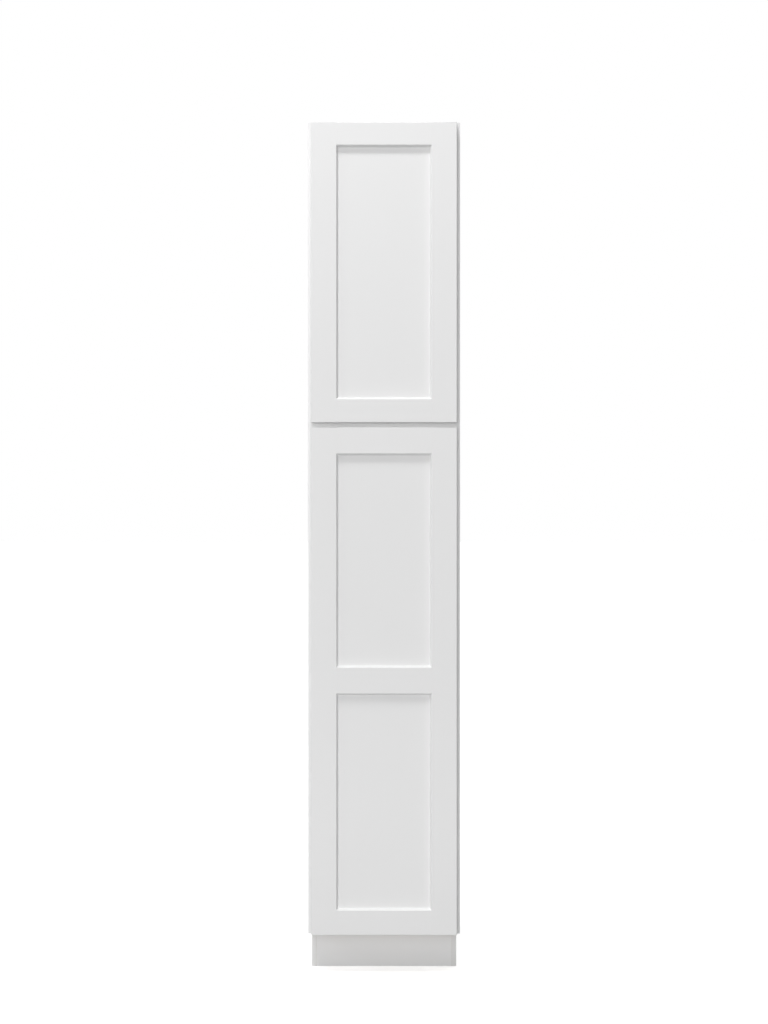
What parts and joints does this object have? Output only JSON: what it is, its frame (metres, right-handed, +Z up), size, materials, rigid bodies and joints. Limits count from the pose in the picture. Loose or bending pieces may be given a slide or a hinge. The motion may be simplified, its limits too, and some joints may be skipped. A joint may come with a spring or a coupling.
{
  "type": "pantry cabinet",
  "caption": "Tall narrow pantry cabinet with a face frame, recessed toe kick and shaker doors above and below that hang on concealed hinges over adjustable shelves.",
  "frame": {"origin": "on the floor under the middle of the cabinet's bounding box", "axes": "+Z up, the doors face -Y, +X to the right of a person who faces the doors"},
  "size_m": [0.381, 0.6306, 2.1336],
  "materials": {
    "white_lacquer": "satin white catalysed lacquer on hardwood and fibreboard",
    "birch_plywood": "clear coated birch veneer plywood",
    "beech_dowel": "bare fluted beech",
    "nickel_plated_steel": "nickel plated",
    "damper_plastic": "moulded grey",
    "clear_silicone": "translucent"
  },
  "bodies": {
    "cabinet": {"left_side_panel": "birch_plywood", "right_side_panel": "birch_plywood", "top_panel": "birch_plywood", "middle_deck": "birch_plywood", "bottom_deck": "birch_plywood", "back_panel": "birch_plywood", "top_nail_rail": "birch_plywood", "middle_nail_rail": "birch_plywood", "bottom_nail_rail": "birch_plywood", "toe_kick_board": "white_lacquer", "face_frame_left_stile": "white_lacquer", "face_frame_right_stile": "white_lacquer", "face_frame_top_rail": "white_lacquer", "face_frame_middle_rail": "white_lacquer", "face_frame_bottom_rail": "white_lacquer", "face_frame_dowels": "beech_dowel", "upper_shelf_1": "birch_plywood", "upper_shelf_2": "birch_plywood", "lower_shelf_1": "birch_plywood", "lower_shelf_2": "birch_plywood", "lower_shelf_3": "birch_plywood", "upper_shelf_pins": "nickel_plated_steel", "lower_shelf_pins": "nickel_plated_steel", "upper_door_hinge_arms": "nickel_plated_steel", "upper_door_hinge_arm_screws": "nickel_plated_steel", "upper_door_hinge_arm_pins": "nickel_plated_steel", "lower_door_hinge_arms": "nickel_plated_steel", "lower_door_hinge_arm_screws": "nickel_plated_steel", "lower_door_hinge_arm_pins": "nickel_plated_steel"},
    "upper_inner_links": {"upper_door_hinge_inner_links": "nickel_plated_steel"},
    "upper_outer_links": {"upper_door_hinge_outer_links": "nickel_plated_steel"},
    "upper_door": {"upper_door_left_stile": "white_lacquer", "upper_door_right_stile": "white_lacquer", "upper_door_top_rail": "white_lacquer", "upper_door_bottom_rail": "white_lacquer", "upper_door_panel": "white_lacquer", "upper_door_bumpers": "clear_silicone", "upper_door_hinge_cups": "nickel_plated_steel", "upper_door_hinge_cup_screws": "nickel_plated_steel", "upper_door_hinge_cup_pins": "nickel_plated_steel", "upper_door_hinge_dampers": "damper_plastic"},
    "lower_inner_links": {"lower_door_hinge_inner_links": "nickel_plated_steel"},
    "lower_outer_links": {"lower_door_hinge_outer_links": "nickel_plated_steel"},
    "lower_door": {"lower_door_left_stile": "white_lacquer", "lower_door_right_stile": "white_lacquer", "lower_door_top_rail": "white_lacquer", "lower_door_middle_rail": "white_lacquer", "lower_door_bottom_rail": "white_lacquer", "lower_door_upper_panel": "white_lacquer", "lower_door_lower_panel": "white_lacquer", "lower_door_bumpers": "clear_silicone", "lower_door_hinge_cups": "nickel_plated_steel", "lower_door_hinge_cup_screws": "nickel_plated_steel", "lower_door_hinge_cup_pins": "nickel_plated_steel", "lower_door_hinge_dampers": "damper_plastic"}
  },
  "joints": [
    {"name": "upper_inner_link_swing", "type": "hinge", "parent": "cabinet", "child": "upper_inner_links", "pos_m": [-0.146, -0.2913, 1.75], "axis": [0, 0, 1], "range_deg": [0, 47.25]},
    {"name": "upper_door_swing", "type": "hinge", "parent": "upper_inner_links", "child": "upper_door", "pos_m": [-0.169, -0.3003, 1.75], "axis": [0, 0, -1], "range_deg": [0, 152.25]},
    {"name": "upper_outer_link_swing", "type": "hinge", "parent": "cabinet", "child": "upper_outer_links", "pos_m": [-0.143, -0.2873, 1.75], "axis": [0, 0, 1], "range_deg": [0, 51.98]},
    {"name": "lower_inner_link_swing", "type": "hinge", "parent": "cabinet", "child": "lower_inner_links", "pos_m": [-0.146, -0.2913, 0.735], "axis": [0, 0, 1], "range_deg": [0, 47.25]},
    {"name": "lower_door_swing", "type": "hinge", "parent": "lower_inner_links", "child": "lower_door", "pos_m": [-0.169, -0.3003, 0.735], "axis": [0, 0, -1], "range_deg": [0, 152.25]},
    {"name": "lower_outer_link_swing", "type": "hinge", "parent": "cabinet", "child": "lower_outer_links", "pos_m": [-0.143, -0.2873, 0.735], "axis": [0, 0, 1], "range_deg": [0, 51.98]}
  ],
  "couplings": [
    {"joint": "upper_inner_link_swing", "follows": "upper_door_swing", "ratio": 0.31034},
    {"joint": "upper_outer_link_swing", "follows": "upper_door_swing", "ratio": 0.34138},
    {"joint": "lower_inner_link_swing", "follows": "lower_door_swing", "ratio": 0.31034},
    {"joint": "lower_outer_link_swing", "follows": "lower_door_swing", "ratio": 0.34138}
  ]
}
